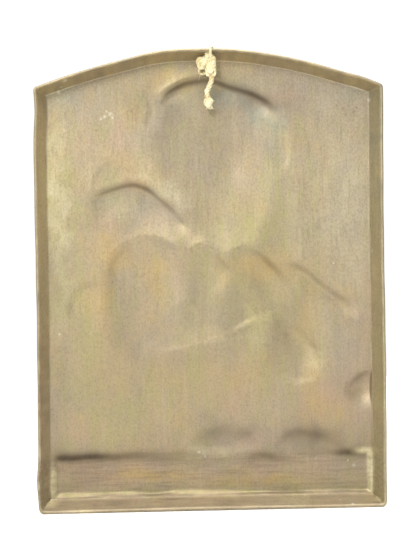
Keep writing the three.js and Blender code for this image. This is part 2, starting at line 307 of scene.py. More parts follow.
# The fat knot inside the rim: the same twine wound over itself many times and pulled tight, an upright
# lobe towards the middle and a looser, frayed one beside it with two loose turns below.
def winding(middle, wide, deep, high, turns, sway, start=0.0):
    """Upright turns of string laid one before another, narrower towards their foot."""
    angle = np.linspace(0, 2 * np.pi * turns, int(turns * 24))
    share = angle / angle[-1]
    tilt = sway * np.sin(2.4 * angle / turns + start)
    size = 1 - 0.35 * np.abs(2 * share - 1) ** 2 - 0.12 * np.sin(1.3 * angle + start)
    x = wide * np.cos(angle + start) * size * (1 + 0.28 * np.sin(angle + start))
    z = high * np.sin(angle + start) * size
    y = deep * (1 - 2 * share) + 0.5 * np.sin(2 * angle)
    turned_x = x * np.cos(tilt) - z * np.sin(tilt)
    turned_z = x * np.sin(tilt) + z * np.cos(tilt)
    return smooth_line(np.column_stack([turned_x, y, turned_z]) + np.array(middle), 0.5)


def core(top, foot, radius):
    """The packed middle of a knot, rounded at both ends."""
    share = np.linspace(0.02, 0.98, 14)
    line = np.array(top) + share[:, None] * (np.array(foot) - np.array(top))
    return tube(line, radius * np.sqrt(1 - (2 * share - 1) ** 2), 14)


def wound_knot(draw):
    """Six windings of changing thickness over two packed cores, with loose fibres on three of them."""
    upright = winding((-1.7, -3.8, -9.6), 2.2, -1.7, 6.0, 5.5, 0.3, 0.6)
    inner = winding((-1.8, -3.2, -9.0), 1.1, -1.0, 4.6, 3.5, 0.5, 2.0)
    collar = winding((-1.3, -2.3, -4.8), 1.7, -0.9, 1.4, 2.5, 0.6, 0.3)
    beside = winding((3.7, -3.9, -8.0), 2.0, -1.5, 3.6, 4.5, 0.8, 1.2)
    filling = winding((3.5, -3.4, -8.2), 0.9, -0.8, 2.2, 2.5, 0.9, 3.0)
    below = winding((3.4, -4.8, -13.0), 2.4, -0.9, 2.4, 2.5, 1.2, 4.0)
    parts = [
        core((-1.8, -3.9, -4.2), (-1.8, -4.4, -15.4), 2.3),
        core((3.6, -4.2, -4.6), (3.4, -4.4, -11.6), 1.9),
    ]
    for line in (upright, inner):
        parts += twine(line, 1.7, draw, 6)
    for line in (collar, beside, filling):
        parts += twine(line, 1.6, draw, 6)
    parts += twine(below, 0.9, draw, 6)
    for line, count, reach in ((upright, 190, 1.5), (beside, 130, 1.5), (below, 90, 2.0)):
        parts += hairs(line, count, reach, draw)
    return joined(parts)


knot_points, knot_faces = wound_knot(draw)
knot = mesh_object("string_lump", knot_points, knot_faces, string_finish)
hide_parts("string_knot")


# The knot at the end of the tail: the same twine knotted once and pulled up small, so that the string
# can't unravel further, with its cut end frayed out below.
def end_knot(draw):
    turns = winding((-0.1, -7.3, -31.8), 1.8, -1.0, 2.4, 4.5, 0.8, 0.9)
    filling = winding((-0.2, -6.9, -32.0), 0.7, -0.6, 1.4, 2.5, 0.9, 2.4)
    parts = twine(turns, 1.6, draw, 6) + twine(filling, 1.6, draw, 6)
    parts.append(core((0.1, -7.4, -29.4), (-0.3, -7.4, -34.4), 1.9))
    for _ in range(30):
        sway = draw.normal(size=2) * 0.9
        fray = [
            (-0.8 + sway[0] * 0.4, -7.4 + sway[1] * 0.3, -33.0),
            (-0.9 + sway[0] * 0.8, -7.4 + sway[1] * 0.6, -34.4),
            (-1.0 + sway[0] * 1.1, -7.4 + sway[1] * 0.9, -35.4 - draw.uniform(0, 0.6)),
        ]
        parts.append(tube(smooth_line(fray, 0.6), 0.16, 4))
    parts += hairs(turns, 110, 1.5, draw)
    return joined(parts)


end_points, end_faces = end_knot(draw)
tail_lump = mesh_object("tail_lump", end_points, end_faces, string_finish)
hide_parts("tail_knot")

fuzz_points, fuzz_faces = joined(hairs(string_line[len(string_line) // 2:], 130, 1.5, draw))
fuzz = mesh_object("string_fuzz", fuzz_points, fuzz_faces, string_finish)


# The plaque: one sheet of brass, 1.2 mm thick, pressed and chased from behind until the figures stand
# forward. Its four edges are turned back to the wall as a flared rim with mitred corners, and a hole for
# the string is punched through the middle of the top rim.
width = (sheet_high[0] - sheet_low[0]) / MM
half_width = width / 2
bottom_z = sheet_low[2] / MM
crown_rise = 23.0
crown_round = 41.5
sheet_thickness = 1.2
rim_depth = 12.0
rim_run = {"side": 6.0, "top": 5.4, "bottom": 6.4}
rim_bend_reach, rim_bend_depth = 1.6, 1.8
foot_corner_round = 3.0
crown_corner_round = 1.2


def crown_drop(x):
    """How far the arched top lies below its highest point."""
    spread = ((crown_rise + crown_round) ** 2 - crown_round**2) / half_width**2
    return np.sqrt(crown_round**2 + spread * x**2) - crown_round


def smooth_step(low, high, value):
    """0 at low, 1 at high, and smooth between them."""
    t = np.clip((value - low) / (high - low), 0, 1)
    return t * t * (3 - 2 * t)


def between(value, start, full, fading, gone):
    """0 up to start, 1 from full to fading, and 0 again from gone on."""
    return smooth_step(start, full, value) * (1 - smooth_step(fading, gone, value))


def spot(x, z, middle_x, middle_z, wide, high):
    """A soft round patch, 1 in its middle."""
    return np.exp(-((x - middle_x) / wide) ** 2 - ((z - middle_z) / high) ** 2)


def soft_min(a, b, reach):
    """The smaller of two values, with the corner between them rounded."""
    share = np.maximum(reach - np.abs(a - b), 0) / reach
    return np.minimum(a, b) - share * share * reach / 4


# The masses of the relief: middle, half width, reach up and down, height, crispness of the upper edge
# and of the lower edge, lean, and 2 for an oval or more for a squarer one. From the back they are hollows.
mounds = {
    "veil": (-8, -62, 42, 45, 66, 4.2, 0.9, 1.4, 0, 2.4),
    "face": (-12, -66, 19, 25, 36, 4.6, 1.1, 1.9, 0, 2),
    "neck": (-4, -100, 17, 24, 30, 2.6, 1.1, 1.6, 0, 2),
    "child_hair": (49, -94, 27, 27, 14, 1.4, 1.0, 1.2, 20, 2),
    "child_head": (43, -98, 31, 18.5, 42, 2.7, 0.7, 2.4, -17, 2),
    "child_body": (39, -151, 29, 37.5, 60, 4.2, 0.8, 1.7, 0, 2),
    "child_arm": (2, -146, 17, 26, 40, 3.2, 0.8, 1.6, 0, 2),
    "shoulder": (-30, -152, 26, 29, 56, 4.2, 0.8, 1.6, 24, 2),
    "sleeve": (-50, -176, 22, 36, 36, 3.4, 0.9, 1.5, 18, 2),
    "lap": (8, -208, 66, 50, 40, 2.6, 1.2, 1.2, 0, 2),
    "left_fold": (82, -148, 15, 29, 44, 1.4, 0.9, 1.6, -20, 2),
    "brow": (38, -36, 9, 12, 13, 0.8, 0.9, 1.2, 0, 2),
    "knee": (-53, -197, 21, 15, 10, 1.5, 0.9, 1.2, -6, 2),
    "bud": (-93, -208, 10, 9, 11, 3.0, 0.7, 0.8, 0, 2),
    "hem_left": (-8, -243, 21, 12.5, 8, 3.0, 0.7, 1.0, 0, 2),
    "hem_right": (-62, -245, 25, 12, 7, 2.8, 0.7, 1.0, 0, 2),
}

# Limbs and rolled folds: from one end to the other, with a radius at each end and a height.
ridges = {
    "forearm": ((30, -172), (-32, -156), (13, 12), 2.7),
    "upper_arm": ((-34, -140), (-58, -186), (14, 13), 3.6),
    "veil_edge": ((-48, -134), (-88, -161), (6, 4.5), 1.8),
    "veil_fall": ((-45, -60), (-44, -120), (9, 11), 1.2),
    "sash": ((36, -88), (10, -110), (8, 10), 2.2),
}
merge_sharpness = 3
plinth_top, plinth_bottom, plinth_half_width = -248.0, -272.0, 97.6
plinth_high, plinth_step, plinth_shift = 2.2, 1.4, 1.4

# The creases: where a fold or a limb lies over what is behind it, the sheet drops quickly and comes back
# slowly. Each is a line, a depth, how quickly it drops, how far it takes to come back, and the side of
# the line that is deeper, as seen along it.
creases = [
    ([(31, -36), (29, -28), (25.5, -23.5), (18, -19.5), (8, -16.8), (-3, -16.4), (-13, -19.5), (-24, -24),
      (-34, -29), (-47, -36.5)], 3.9, 1.9, 14, -1),
    ([(-46.5, -31), (-48.5, -42), (-50, -56), (-50.5, -72)], 0.8, 0.8, 7, -1),
    ([(41, -24), (38, -31), (37, -38), (40, -46)], 0.9, 1.8, 7, 1),
    ([(76, -95), (72, -88.5), (66.6, -85), (57, -81.5), (46, -79.6), (36.5, -82.5), (30, -88), (24, -93),
      (9, -108)], 2.9, 1.5, 12, -1),
    ([(75, -88), (73, -80), (68, -72), (60, -68), (50, -69)], 0.6, 1.6, 8, -1),
    ([(65, -142), (62.5, -130), (60, -126.5), (55, -121.5), (49, -116.5), (40, -113.5), (31, -115),
      (22, -119), (13, -123.5)], 1.7, 1.9, 13, -1),
    ([(15, -123.5), (9, -119.5), (4, -118.5), (-2, -121.5), (-8, -128.5), (-14, -138)], 1.4, 1.8, 10, -1),
    ([(-10, -131), (-15, -125), (-22, -122.3), (-30, -123.5), (-38, -130), (-47, -141), (-55, -153),
      (-62, -168), (-66, -186)], 1.6, 2.0, 12, -1),
    ([(-20, -128), (-29, -131), (-38, -139), (-46, -150), (-52, -162)], 0.7, 1.8, 7, -1),
    ([(-46, -130), (-57, -134), (-69, -142), (-78, -149.5), (-90, -160)], 1.7, 1.5, 9, -1),
    ([(95, -138), (91, -128), (86, -122), (76, -118)], 0.9, 1.8, 9, -1),
    ([(90, -162), (84, -147), (78, -142), (66, -141)], 0.8, 1.8, 9, -1),
    ([(34, -185), (14, -181), (0.5, -177.5), (-13, -173), (-32, -163)], 0.6, 1.6, 8, 1),
    ([(24, -156), (13, -156), (4, -161)], 0.6, 1.8, 7, -1),
    ([(-8, -152), (-17, -152.5), (-26, -159)], 0.7, 1.8, 6, -1),
    ([(-32, -155), (-41, -157.5), (-51, -166)], 1.3, 1.6, 6, -1),
    ([(-48, -167), (-57, -172), (-66, -184)], 1.5, 1.4, 7, -1),
    ([(-30, -203), (-48, -204.5), (-65, -203.5)], 0.5, 1.6, 9, 1),
    ([(-80, -210), (-85, -203), (-92, -198), (-103, -197)], 1.2, 1.4, 8, -1),
    ([(20, -246), (12, -238), (2, -232), (-11, -230), (-21, -233), (-28, -240), (-32, -247)],
     0.75, 3.2, 11, -1),
    ([(-34, -247), (-42, -239), (-51, -233), (-63, -235), (-75, -241), (-90, -245)], 0.75, 3.2, 11, -1),
    ([(108, -247.6), (85, -248.2), (65, -247.2), (50, -247.8), (38, -247)], 0.6, 2.0, 8, -1),
    ([(-60, -246), (-76, -247), (-92, -246.6), (-106, -245)], 0.7, 1.5, 8, -1),
]


# The relief is worked out on a fine square raster first, where it can be smoothed as pressing does.
# Its outlines stray a little from the drawn ones, as hand work does.
cell = 0.5
wander = 1.3
draw = np.random.default_rng(5)
raster_x = np.arange(-half_width, half_width + cell, cell)
raster_z = np.arange(bottom_z, cell, cell)
grid_x, grid_z = np.meshgrid(raster_x, raster_z)


def blurred(height, spread):
    """A height map with everything finer than the given spread smoothed away."""
    pad = int(4 * spread / cell)
    padded = np.pad(height, pad, mode="reflect")
    rows = np.fft.fftfreq(padded.shape[0], cell)[:, None]
    columns = np.fft.rfftfreq(padded.shape[1], cell)[None]
    fall = np.exp(-2 * (np.pi * spread) ** 2 * (rows**2 + columns**2))
    soft = np.fft.irfft2(np.fft.rfft2(padded) * fall, padded.shape)
    return soft[pad:-pad, pad:-pad]


def soft_noise(spread):
    """A smooth uneven surface over the raster, from about -1 to 1."""
    margin = int(3 * spread / cell)
    rows, columns = grid_x.shape
    rough = blurred(draw.normal(size=(rows + 2 * margin, columns + 2 * margin)), spread)
    rough = rough[margin:-margin, margin:-margin]
    return rough / (2.5 * rough.std())


strayed_x = grid_x + wander * soft_noise(7.0)
strayed_z = grid_z + wander * soft_noise(7.0)


def mound_height(x, z, mound):
    """How high one mass stands at each place."""
    middle_x, middle_z, wide, up, below, high, upper_edge, lower_edge, lean, power = mound
    angle = math.radians(lean)
    out_x = (x - middle_x) * math.cos(angle) + (z - middle_z) * math.sin(angle)
    out_z = (z - middle_z) * math.cos(angle) - (x - middle_x) * math.sin(angle)
    reach = np.where(out_z > 0, up, below)
    out = np.abs(out_x / wide) ** power + np.abs(out_z / reach) ** power
    edge = lower_edge + (upper_edge - lower_edge) * smooth_step(-0.5, 0.5, out_z / reach)
    return high * np.maximum(1 - out, 0) ** edge


def ridge_height(x, z, ridge):
    """How high one limb or rolled fold stands at each place."""
    (from_x, from_z), (to_x, to_z), (from_radius, to_radius), high = ridge
    length = math.hypot(to_x - from_x, to_z - from_z)
    along = ((x - from_x) * (to_x - from_x) + (z - from_z) * (to_z - from_z)) / length**2
    share = np.clip(along, 0, 1)
    away = np.hypot(x - from_x - share * (to_x - from_x), z - from_z - share * (to_z - from_z))
    radius = from_radius + share * (to_radius - from_radius)
    return high * np.maximum(1 - (away / radius) ** 2, 0)


def add_crease(height, crease):
    """Adds one crease to the part of a height map that it reaches."""
    route, depth, drop, recovery, side = crease
    line = smooth_line([(a, b, 0) for a, b in route], 2.5)[:, :2]
    reach = 2.4 * recovery + wander
    inside_x = (raster_x > line[:, 0].min() - reach) & (raster_x < line[:, 0].max() + reach)
    inside_z = (raster_z > line[:, 1].min() - reach) & (raster_z < line[:, 1].max() + reach)
    window = np.ix_(inside_z, inside_x)
    near_x, near_z = strayed_x[window], strayed_z[window]
    away, signed, place = [], [], []
    for i, ((ax, az), (bx, bz)) in enumerate(zip(line, line[1:])):
        run_x, run_z = bx - ax, bz - az
        share = np.clip(((near_x - ax) * run_x + (near_z - az) * run_z) / (run_x**2 + run_z**2), 0, 1)
        away_x, away_z = near_x - ax - share * run_x, near_z - az - share * run_z
        away.append(np.hypot(away_x, away_z))
        signed.append(-side * np.sign(run_x * away_z - run_z * away_x) * away[-1])
        place.append((i + share) / (len(line) - 1))
    away = np.array(away)
    nearest = away.min(0)
    weight = np.exp((nearest - away) / (0.4 + 0.16 * nearest))
    weight /= weight.sum(0)
    deeper = np.array(signed)
    place = np.array(place)
    taper = between(place, 0, 0.14, 0.86, 1)
    gone = np.maximum(deeper, 0)
    below = (1 - np.exp(-gone / drop)) * np.exp(-gone / recovery)
    below *= 1 - smooth_step(1.0, 2.3, gone / recovery)
    lip = 0.25 * np.exp(-np.abs(deeper) / np.where(deeper > 0, 1.4, 4.0))
    height[window] += depth * (weight * taper * (below - lip)).sum(0)


def figure_masses(chosen_ridges):
    """All the masses and some of the ridges, run together where they meet."""
    total = np.zeros_like(grid_x)
    for mound in mounds.values():
        total += mound_height(strayed_x, strayed_z, mound) ** merge_sharpness
    for ridge in chosen_ridges:
        total += ridge_height(strayed_x, strayed_z, ridge) ** merge_sharpness
    return total ** (1 / merge_sharpness)


def plinth():
    """The band along the foot, its upper edge softer in the middle, where the hem comes down to it."""
    from_left = plinth_half_width - plinth_shift - grid_x
    from_right = grid_x + plinth_half_width
    across = smooth_step(-plinth_step, plinth_step, np.minimum(from_left, from_right))
    top = plinth_top + 0.6 * np.sin(grid_x / 13 + 1) + 0.5 * np.sin(grid_x / 5.3)
    softness = 2.3 + 4.0 * np.exp(-(((grid_x - 6) / 42) ** 2))
    above = 1 - smooth_step(top - softness, top + softness, strayed_z)
    below = smooth_step(plinth_bottom - plinth_step, plinth_bottom + plinth_step, strayed_z)
    return plinth_high * across * above * below


def robe_folds():
    """Shallow slanting folds in the lap, which hardly show from the back."""
    inside = between(grid_z, -246, -234, -192, -172) * (1 - smooth_step(50, 74, np.abs(grid_x)))
    return 0.12 * inside * np.sin(2 * np.pi * (grid_x + 0.32 * grid_z) / 21)


pressed = blurred(figure_masses(ridges.values()) + robe_folds(), 2.8)
pressed = np.maximum(pressed, 0) - 0.15 * blurred(pressed, 9.0)
folded = np.zeros_like(grid_x)
for crease in creases:
    add_crease(folded, crease)
folded *= 0.9 + 0.35 * soft_noise(5.0)
pressed += blurred(folded, 0.7)
band_part = np.maximum(blurred(plinth(), 0.6), 0)
pressed = (np.maximum(pressed, 0) ** 2 + band_part**2) ** (1 / 2) + np.minimum(pressed, 0)
pressed += 0.25 * soft_noise(22.0)
pressed += 0.10 * soft_noise(6.0)


# The front was chased over again, so the same masses have crisper outlines there, folds in the cloth and
# two plain faces. Each face has a middle, a half width, a half height and a lean.
faces = [(-12, -66, 17, 24, 5), (45, -98, 11.5, 15, -12)]
front_most = 1.2
front_least = -0.4


def face_features(face):
    """A plain face by the usual proportions: nose, sockets and eyes at half height, brows, lips, chin."""
    middle_x, middle_z, wide, high, lean = face
    angle = math.radians(lean)
    across = ((grid_x - middle_x) * math.cos(angle) + (grid_z - middle_z) * math.sin(angle)) / wide
    up = ((grid_z - middle_z) * math.cos(angle) - (grid_x - middle_x) * math.sin(angle)) / high
    beside = np.abs(across)
    nose_wide = 0.12 + 0.10 * smooth_step(-0.1, -0.35, up)
    height = 1.5 * between(up, 0.15, -0.30, -0.33, -0.42) * spot(across, 0, 0, 0, nose_wide, 1)
    height -= 0.5 * spot(beside, up, 0.36, 0.03, 0.22, 0.13)
    height += 0.8 * spot(beside, up, 0.36, 0, 0.15, 0.055)
    height += 0.5 * spot(beside, up + 0.2 * (beside - 0.3) ** 2, 0.38, 0.20, 0.24, 0.06)
    height += 0.7 * spot(across, up, 0, -0.55, 0.24, 0.05)
    height += 0.7 * spot(across, up, 0, -0.67, 0.18, 0.05)
    height += 0.5 * spot(across, up, 0, -0.86, 0.22, 0.09)
    return height


def hair_line(face):
    """The edge of the cloth or hair that frames a face, open below the chin."""
    middle_x, middle_z, wide, high = face[:4]
    away = np.hypot((grid_x - middle_x) / wide, (grid_z - middle_z) / high)
    opening = smooth_step(middle_z - 0.95 * high, middle_z - 0.6 * high, grid_z)
    return 0.9 * np.exp(-(((away - 1.14) * wide / 1.3) ** 2)) * opening


def front_relief():
    """What the front has beyond the back: crisp outlines, the pleated hood, the folds and the faces."""
    figure = figure_masses([ridges["forearm"], ridges["upper_arm"]])
    crisp = blurred(figure, 0.9) - blurred(figure, 2.8)
    hood_x, hood_z, hood_wide, hood_high = mounds["veil"][:4]
    face_x, face_z, face_wide, face_high = faces[0][:4]
    from_hood = np.hypot((grid_x - hood_x) / hood_wide, (grid_z - hood_z) / hood_high)
    from_face = np.hypot((grid_x - face_x) / face_wide, (grid_z - face_z) / face_high)
    hood = smooth_step(1.05, 1.25, from_face) * (1 - smooth_step(0.85, 1.0, from_hood)) * (grid_z > -110)
    turn = np.arctan2(grid_x - hood_x, grid_z - hood_z)
    lap = between(grid_z, -247, -236, -200, -150) * (1 - smooth_step(56, 80, np.abs(grid_x)))
    spread = strayed_x + 0.34 * strayed_z + 0.0012 * strayed_x * (strayed_z + 150)
    cloth = 0.75 * lap * np.sin(2 * np.pi * spread / 19 + 1.4 * np.sin(spread / 14))
    cloth += 0.35 * hood * np.sin(11 * turn + 2 * from_hood)
    total = 0.8 * crisp + cloth + sum(face_features(face) + hair_line(face) for face in faces)
    return np.clip(total, front_least, front_most)


front_extra = front_relief()
front_total = pressed + front_extra
recess = blurred(front_total, 4.0) - front_total


# Painted shade: the colour is darkened along the inside of the creases, on the walls that face down,
# where the sheet drops away fastest from above.
drop_down = np.maximum(-np.gradient(pressed, cell, axis=0), 0)
painted_crease_shade = 1.1 * blurred(np.minimum(drop_down, 1.0) ** 1.3, 1.5)


def sampled(raster, x, z):
    """A raster's height at any places, between its cells."""
    column = np.clip((x - raster_x[0]) / cell, 0, len(raster_x) - 1.001)
    row = np.clip((z - raster_z[0]) / cell, 0, len(raster_z) - 1.001)
    i, j = row.astype(int), column.astype(int)
    v, u = row - i, column - j
    low = raster[i, j] * (1 - u) + raster[i, j + 1] * u
    high = raster[i + 1, j] * (1 - u) + raster[i + 1, j + 1] * u
    return low * (1 - v) + high * v


def rim_share(x, z):
    """How far the rim has come round: 0 at its outer edge, 1 at its root, more on the field."""
    from_side = (half_width - np.abs(x)) / rim_run["side"]
    from_top = (-crown_drop(x) - z) / rim_run["top"]
    from_bottom = (z - bottom_z) / rim_run["bottom"]
    return np.minimum(from_side, np.minimum(from_top, from_bottom))


def sheet_y(x, z):
    """The middle of the sheet's thickness."""
    share = rim_share(x, z)
    depth = soft_min(share * rim_depth, rim_depth, rim_bend_depth)
    fade = smooth_step(1.0, 1.25, share)
    return -(depth + fade * sampled(pressed, x, z))


def rim_insets(run):
    """Places across a rim, closer together where the sheet bends."""
    straight = np.linspace(0, run - rim_bend_reach, 6)
    bend = np.linspace(run - 0.75 * rim_bend_reach, run + rim_bend_reach, 9)
    return np.r_[straight, bend]


# The sheet's mesh: straight rows of cells up to a level, and above it rows that fan out to the arch.
inner_columns, fan_rows, straight_rows = 168, 46, 171
straight_below = -58.0
side_insets = rim_insets(rim_run["side"])
inner = half_width - side_insets[-1]
columns = np.r_[
    side_insets[:-1] - half_width,
    np.linspace(-inner, inner, inner_columns + 1),
    (half_width - side_insets[:-1])[::-1],
]
foot = bottom_z + rim_insets(rim_run["bottom"])
levels = np.r_[foot[:-1], np.linspace(foot[-1], straight_below, straight_rows + 1)]
top_insets = rim_insets(rim_run["top"])[::-1]
rows = [np.full_like(columns, level) for level in levels]
for share in np.linspace(0, 1, fan_rows + 1)[1:]:
    rows.append(straight_below + share * (-crown_drop(columns) - top_insets[0] - straight_below))
for inset in top_insets[1:]:
    rows.append(-crown_drop(columns) - inset)
place_x = np.tile(columns, (len(rows), 1))
place_z = np.array(rows)
place_y = sheet_y(place_x, place_z)
row_count, column_count = place_x.shape


def swell(value, middle, wide):
    """A soft bulge, 1 at its middle."""
    return np.exp(-(((value - middle) / wide) ** 2))


bend_fade = 30


def hand_bent(x, z):
    """The slightly uneven line of edges that were bent by hand, swollen or drawn in at a few places."""
    side = 0.22 * np.sin(z / 29 + np.sign(x)) + 0.07 * np.sin(z / 6.3 + 2 * np.sign(x))
    side += (x > 0) * (0.7 * swell(z, -36, 10) - 0.8 * swell(z, -262, 10))
    end = 0.2 * np.sin(x / 31 + 1.3) + 0.06 * np.sin(x / 7.7)
    end -= (z > bottom_z / 2) * (0.45 + 0.9 * swell(x, 28, 17) + 0.7 * swell(x, -94, 9))
    near_side = 1 - smooth_step(0, bend_fade, half_width - np.abs(x))
    near_end = 1 - smooth_step(0, bend_fade, np.minimum(-crown_drop(x) - z, z - bottom_z))
    moved_x = x - np.sign(x) * near_side * side
    moved_z = z - np.sign(z - bottom_z / 2) * near_end * end
    return moved_x, moved_z


def rounded_corners(x, z):
    """Pulls the square outer corners in to a small radius."""
    a = half_width - np.abs(x)
    foot_gap = z - bottom_z
    b = np.minimum(foot_gap, -crown_drop(x) - z)
    radius = np.where(foot_gap < width / 2, foot_corner_round, crown_corner_round)
    near = (a < radius) & (b < radius)
    in_a, in_b = radius - a, radius - b
    squeeze = np.maximum(in_a, in_b) / np.maximum(np.hypot(in_a, in_b), 1e-6)
    shift_x = np.where(near, in_a * (1 - squeeze), 0)
    shift_z = np.where(near, in_b * (1 - squeeze), 0)
    upward = np.where(foot_gap < width / 2, 1, -1)
    return x - np.sign(x) * shift_x, z + upward * shift_z


bent_x, bent_z = rounded_corners(place_x, place_z)
bent_x, bent_z = hand_bent(bent_x, bent_z)
edge_inset = 0.4 * sheet_thickness
bent_x *= 1 - edge_inset / half_width
bent_z = bottom_z / 2 + (bent_z - bottom_z / 2) * (1 + 2 * edge_inset / bottom_z)
middle = np.stack([bent_x, place_y, bent_z], -1).reshape(-1, 3)
number = np.arange(row_count * column_count).reshape(row_count, column_count)

# The hole: a block of the top rim's cells gives way to a round ring.
hole_radius = 2.3
hole_inset = 1.7
block_reach = 3.6
rim_lip = 0.25
from_top = -crown_drop(0) - place_z[:, column_count // 2]
block_rows = np.flatnonzero((from_top > rim_lip) & (from_top < block_reach))
block_columns = np.flatnonzero(np.abs(columns) < block_reach)
low_row, top_row = block_rows[0], block_rows[-1]
first_column, last_column = block_columns[0], block_columns[-1]
block_loop = np.r_[
    number[low_row, first_column:last_column],
    number[low_row:top_row, last_column],
    number[top_row, last_column:first_column:-1],
    number[top_row:low_row:-1, first_column],
]
wall_run = np.array([0, -rim_depth, -rim_run["top"]])
wall_slope = wall_run / np.linalg.norm(wall_run)
hole_middle = np.array([0, -hole_inset * rim_depth / rim_run["top"], -hole_inset - edge_inset])
loop_out = middle[block_loop] - hole_middle
loop_angle = np.arctan2(-(loop_out @ wall_slope), loop_out[:, 0])
ring = hole_middle + hole_radius * (
    np.cos(loop_angle)[:, None] * np.array([1, 0, 0]) - np.sin(loop_angle)[:, None] * wall_slope
)
ring_number = np.arange(len(middle), len(middle) + len(ring))
middle = np.vstack([middle, ring])

quads = []
for i in range(row_count - 1):
    for j in range(column_count - 1):
        if low_row <= i < top_row and first_column <= j < last_column:
            continue
        corners = [number[i, j], number[i, j + 1], number[i + 1, j + 1], number[i + 1, j]]
        rising = (i < row_count / 2) == (j < column_count / 2)
        quads.append(corners if rising else corners[1:] + corners[:1])
quads += zip(block_loop, np.roll(block_loop, -1), np.roll(ring_number, -1), ring_number)
quads = np.array(quads)

# Keeps the two faces of the sheet from moving too far apart at the sharpest corners.
steepest_bend = 0.6


def offsets(points, faces, on_edge):
    """How far each point of the sheet's middle moves to reach its front, square to the faces round it."""
    one_way = points[faces[:, 2]] - points[faces[:, 0]]
    other_way = points[faces[:, 3]] - points[faces[:, 1]]
    normal = np.cross(one_way, other_way)
    normal /= np.linalg.norm(normal, axis=1)[:, None]
    total = np.zeros_like(points)
    for k in range(4):
        np.add.at(total, faces[:, k], normal)
    total[on_edge, 1] = 0
    total /= np.maximum(np.linalg.norm(total, axis=1), 1e-9)[:, None]
    lean = np.zeros(len(points))
    count = np.zeros(len(points))
    for k in range(4):
        np.add.at(lean, faces[:, k], (total[faces[:, k]] * normal).sum(1))
        np.add.at(count, faces[:, k], 1)
    lean = np.maximum(lean / np.maximum(count, 1), steepest_bend)
    return total * (sheet_thickness / 2 / lean)[:, None]


on_edge = np.zeros(len(middle), bool)
on_edge[np.r_[number[0], number[-1], number[:, 0], number[:, -1]]] = True
outward = offsets(middle, quads, on_edge)
front = middle + outward
back = middle - outward
flat_x, flat_z = np.hstack([place_x.ravel(), ring[:, 0]]), np.hstack([place_z.ravel(), ring[:, 2]])
on_field = smooth_step(1.1, 1.6, rim_share(flat_x, flat_z))
front[:, 1] -= on_field * sampled(front_extra, flat_x, flat_z)
half = len(middle)
edge_loop = np.r_[number[0, :-1], number[:-1, -1], number[-1, :0:-1], number[:0:-1, 0]]
strips = []
for loop in (edge_loop, ring_number[::-1]):
    for a, b in zip(loop, np.roll(loop, -1)):
        strips.append([b, a, half + a, half + b])
sheet_faces = np.vstack([quads, half + quads[:, ::-1], np.array(strips)])
used, sheet_faces = np.unique(sheet_faces, return_inverse=True)
sheet_faces = sheet_faces.reshape(-1, 4)
sheet_points = np.vstack([front, back])[used]
